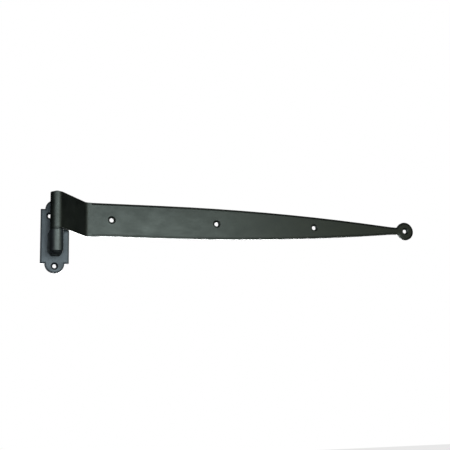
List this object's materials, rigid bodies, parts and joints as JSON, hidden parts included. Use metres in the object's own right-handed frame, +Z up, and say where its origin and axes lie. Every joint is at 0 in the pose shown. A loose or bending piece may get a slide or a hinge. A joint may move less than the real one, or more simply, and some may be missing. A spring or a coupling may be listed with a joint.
{
  "type": "strap hinge",
  "caption": "Cranked lift-off strap hinge: long tapering strap with a rolled eye, turning on a fixed pin carried by a small round-ended plate.",
  "frame": {"origin": "on the small plate's back face, halfway up it and straight behind the pin", "axes": "+Z up along the pin, +X along the strap at rest, +Y into the wall"},
  "size_m": [0.4752, 0.0473, 0.0889],
  "materials": {
    "plate_paint": "satin black paint on forged steel",
    "strap_paint": "satin black paint on flat bar",
    "washer_paint": "dull black paint",
    "pin_steel": "turned steel, oiled"
  },
  "bodies": {
    "pintle": {"pintle_plate": "plate_paint", "pintle_body": "plate_paint", "pintle_pin": "pin_steel", "pin_peen": "plate_paint", "body_welds": "plate_paint"},
    "washer": {"thrust_washer": "washer_paint"},
    "leaf": {"strap_leaf": "strap_paint", "eye_weld": "strap_paint"}
  },
  "joints": [
    {"name": "strap_swing", "type": "hinge", "parent": "pintle", "child": "washer", "pos_m": [0, -0.0173, 0], "axis": [0, 0, -1], "range_deg": [0, 180]},
    {"name": "lift_off", "type": "slide", "parent": "washer", "child": "leaf", "axis": [0, 0, 1], "range_m": [0, 0.045]}
  ]
}
